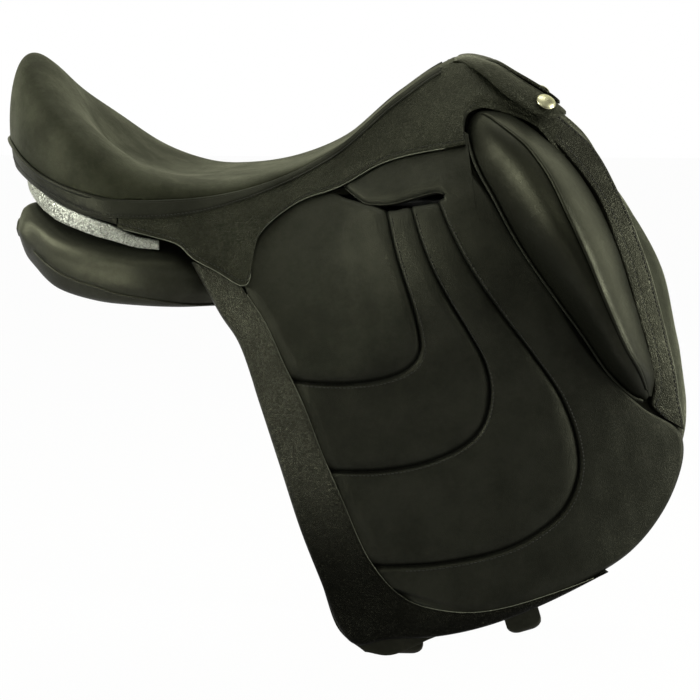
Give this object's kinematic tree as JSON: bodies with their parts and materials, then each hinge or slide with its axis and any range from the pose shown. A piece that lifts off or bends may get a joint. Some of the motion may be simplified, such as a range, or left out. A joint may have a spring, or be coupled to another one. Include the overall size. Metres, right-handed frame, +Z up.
{
  "type": "dressage saddle",
  "caption": "Black leather dressage saddle: deep seat with high cantle, long flap with stitched channels, external knee block, grained edge strips and recessed stirrup bars.",
  "frame": {"origin": "on the symmetry plane, under the deepest point of the seat, level with the bearing line of the panels", "axes": "+X forward to the pommel, +Y to the left side, +Z up"},
  "size_m": [0.6009, 0.4082, 0.5028],
  "materials": {
    "smooth_leather": "smooth satin black leather",
    "grained_leather": "pebbled black leather",
    "flap_leather": "plain black leather",
    "panel_leather": "soft black leather",
    "strap_leather": "plain black strap leather",
    "glitter": "silver glitter cloth",
    "stud_metal": "polished",
    "steel": "bare forged and pressed steel",
    "wood": "laminated beech, stained black",
    "foam": "open foam",
    "webbing": "woven webbing"
  },
  "bodies": {
    "saddle": {"tree": "wood", "tree_head": "wood", "head_plate": "steel", "gullet_plate": "steel", "head_rivets": "steel", "spring_steels": "steel", "tree_point_left": "wood", "tree_point_right": "wood", "seat_webbing": "webbing", "seat_foam": "foam", "seat_cover": "smooth_leather", "seat_welt": "smooth_leather", "skirt_left": "grained_leather", "skirt_right": "grained_leather", "cantle_facing": "smooth_leather", "cantle_band": "glitter", "pommel_cover": "smooth_leather", "pommel_strap": "grained_leather", "pommel_studs": "stud_metal", "flap_left": "flap_leather", "flap_right": "flap_leather", "flap_pad_left": "smooth_leather", "flap_pad_right": "smooth_leather", "rear_edge_left": "grained_leather", "rear_edge_right": "grained_leather", "front_edge_left": "grained_leather", "front_edge_right": "grained_leather", "bar_cover_left": "smooth_leather", "bar_cover_right": "smooth_leather", "knee_block_left": "smooth_leather", "knee_block_right": "smooth_leather", "knee_welt_left": "smooth_leather", "knee_welt_right": "smooth_leather", "panel_left": "panel_leather", "panel_right": "panel_leather", "sweat_flap_left": "flap_leather", "sweat_flap_right": "flap_leather", "girth_web_left": "webbing", "girth_web_right": "webbing", "girth_strap_rear_left": "strap_leather", "girth_strap_rear_right": "strap_leather", "girth_strap_front_left": "strap_leather", "girth_strap_front_right": "strap_leather", "stirrup_bar_left": "steel", "stirrup_bar_right": "steel", "bar_rivets": "steel", "catch_pin_left": "steel", "catch_pin_right": "steel"},
    "catch_left": {"catch_left": "steel"},
    "catch_right": {"catch_right": "steel"}
  },
  "joints": [
    {"name": "catch_left_hinge", "type": "hinge", "parent": "saddle", "child": "catch_left", "pos_m": [0.11195, 0.09353, 0.08866], "axis": [-0.3429, 0.7488, 0.5672], "range_deg": [0, 80]},
    {"name": "catch_right_hinge", "type": "hinge", "parent": "saddle", "child": "catch_right", "pos_m": [0.11195, -0.09353, 0.08866], "axis": [0.3429, 0.7488, -0.5672], "range_deg": [0, 80]}
  ]
}
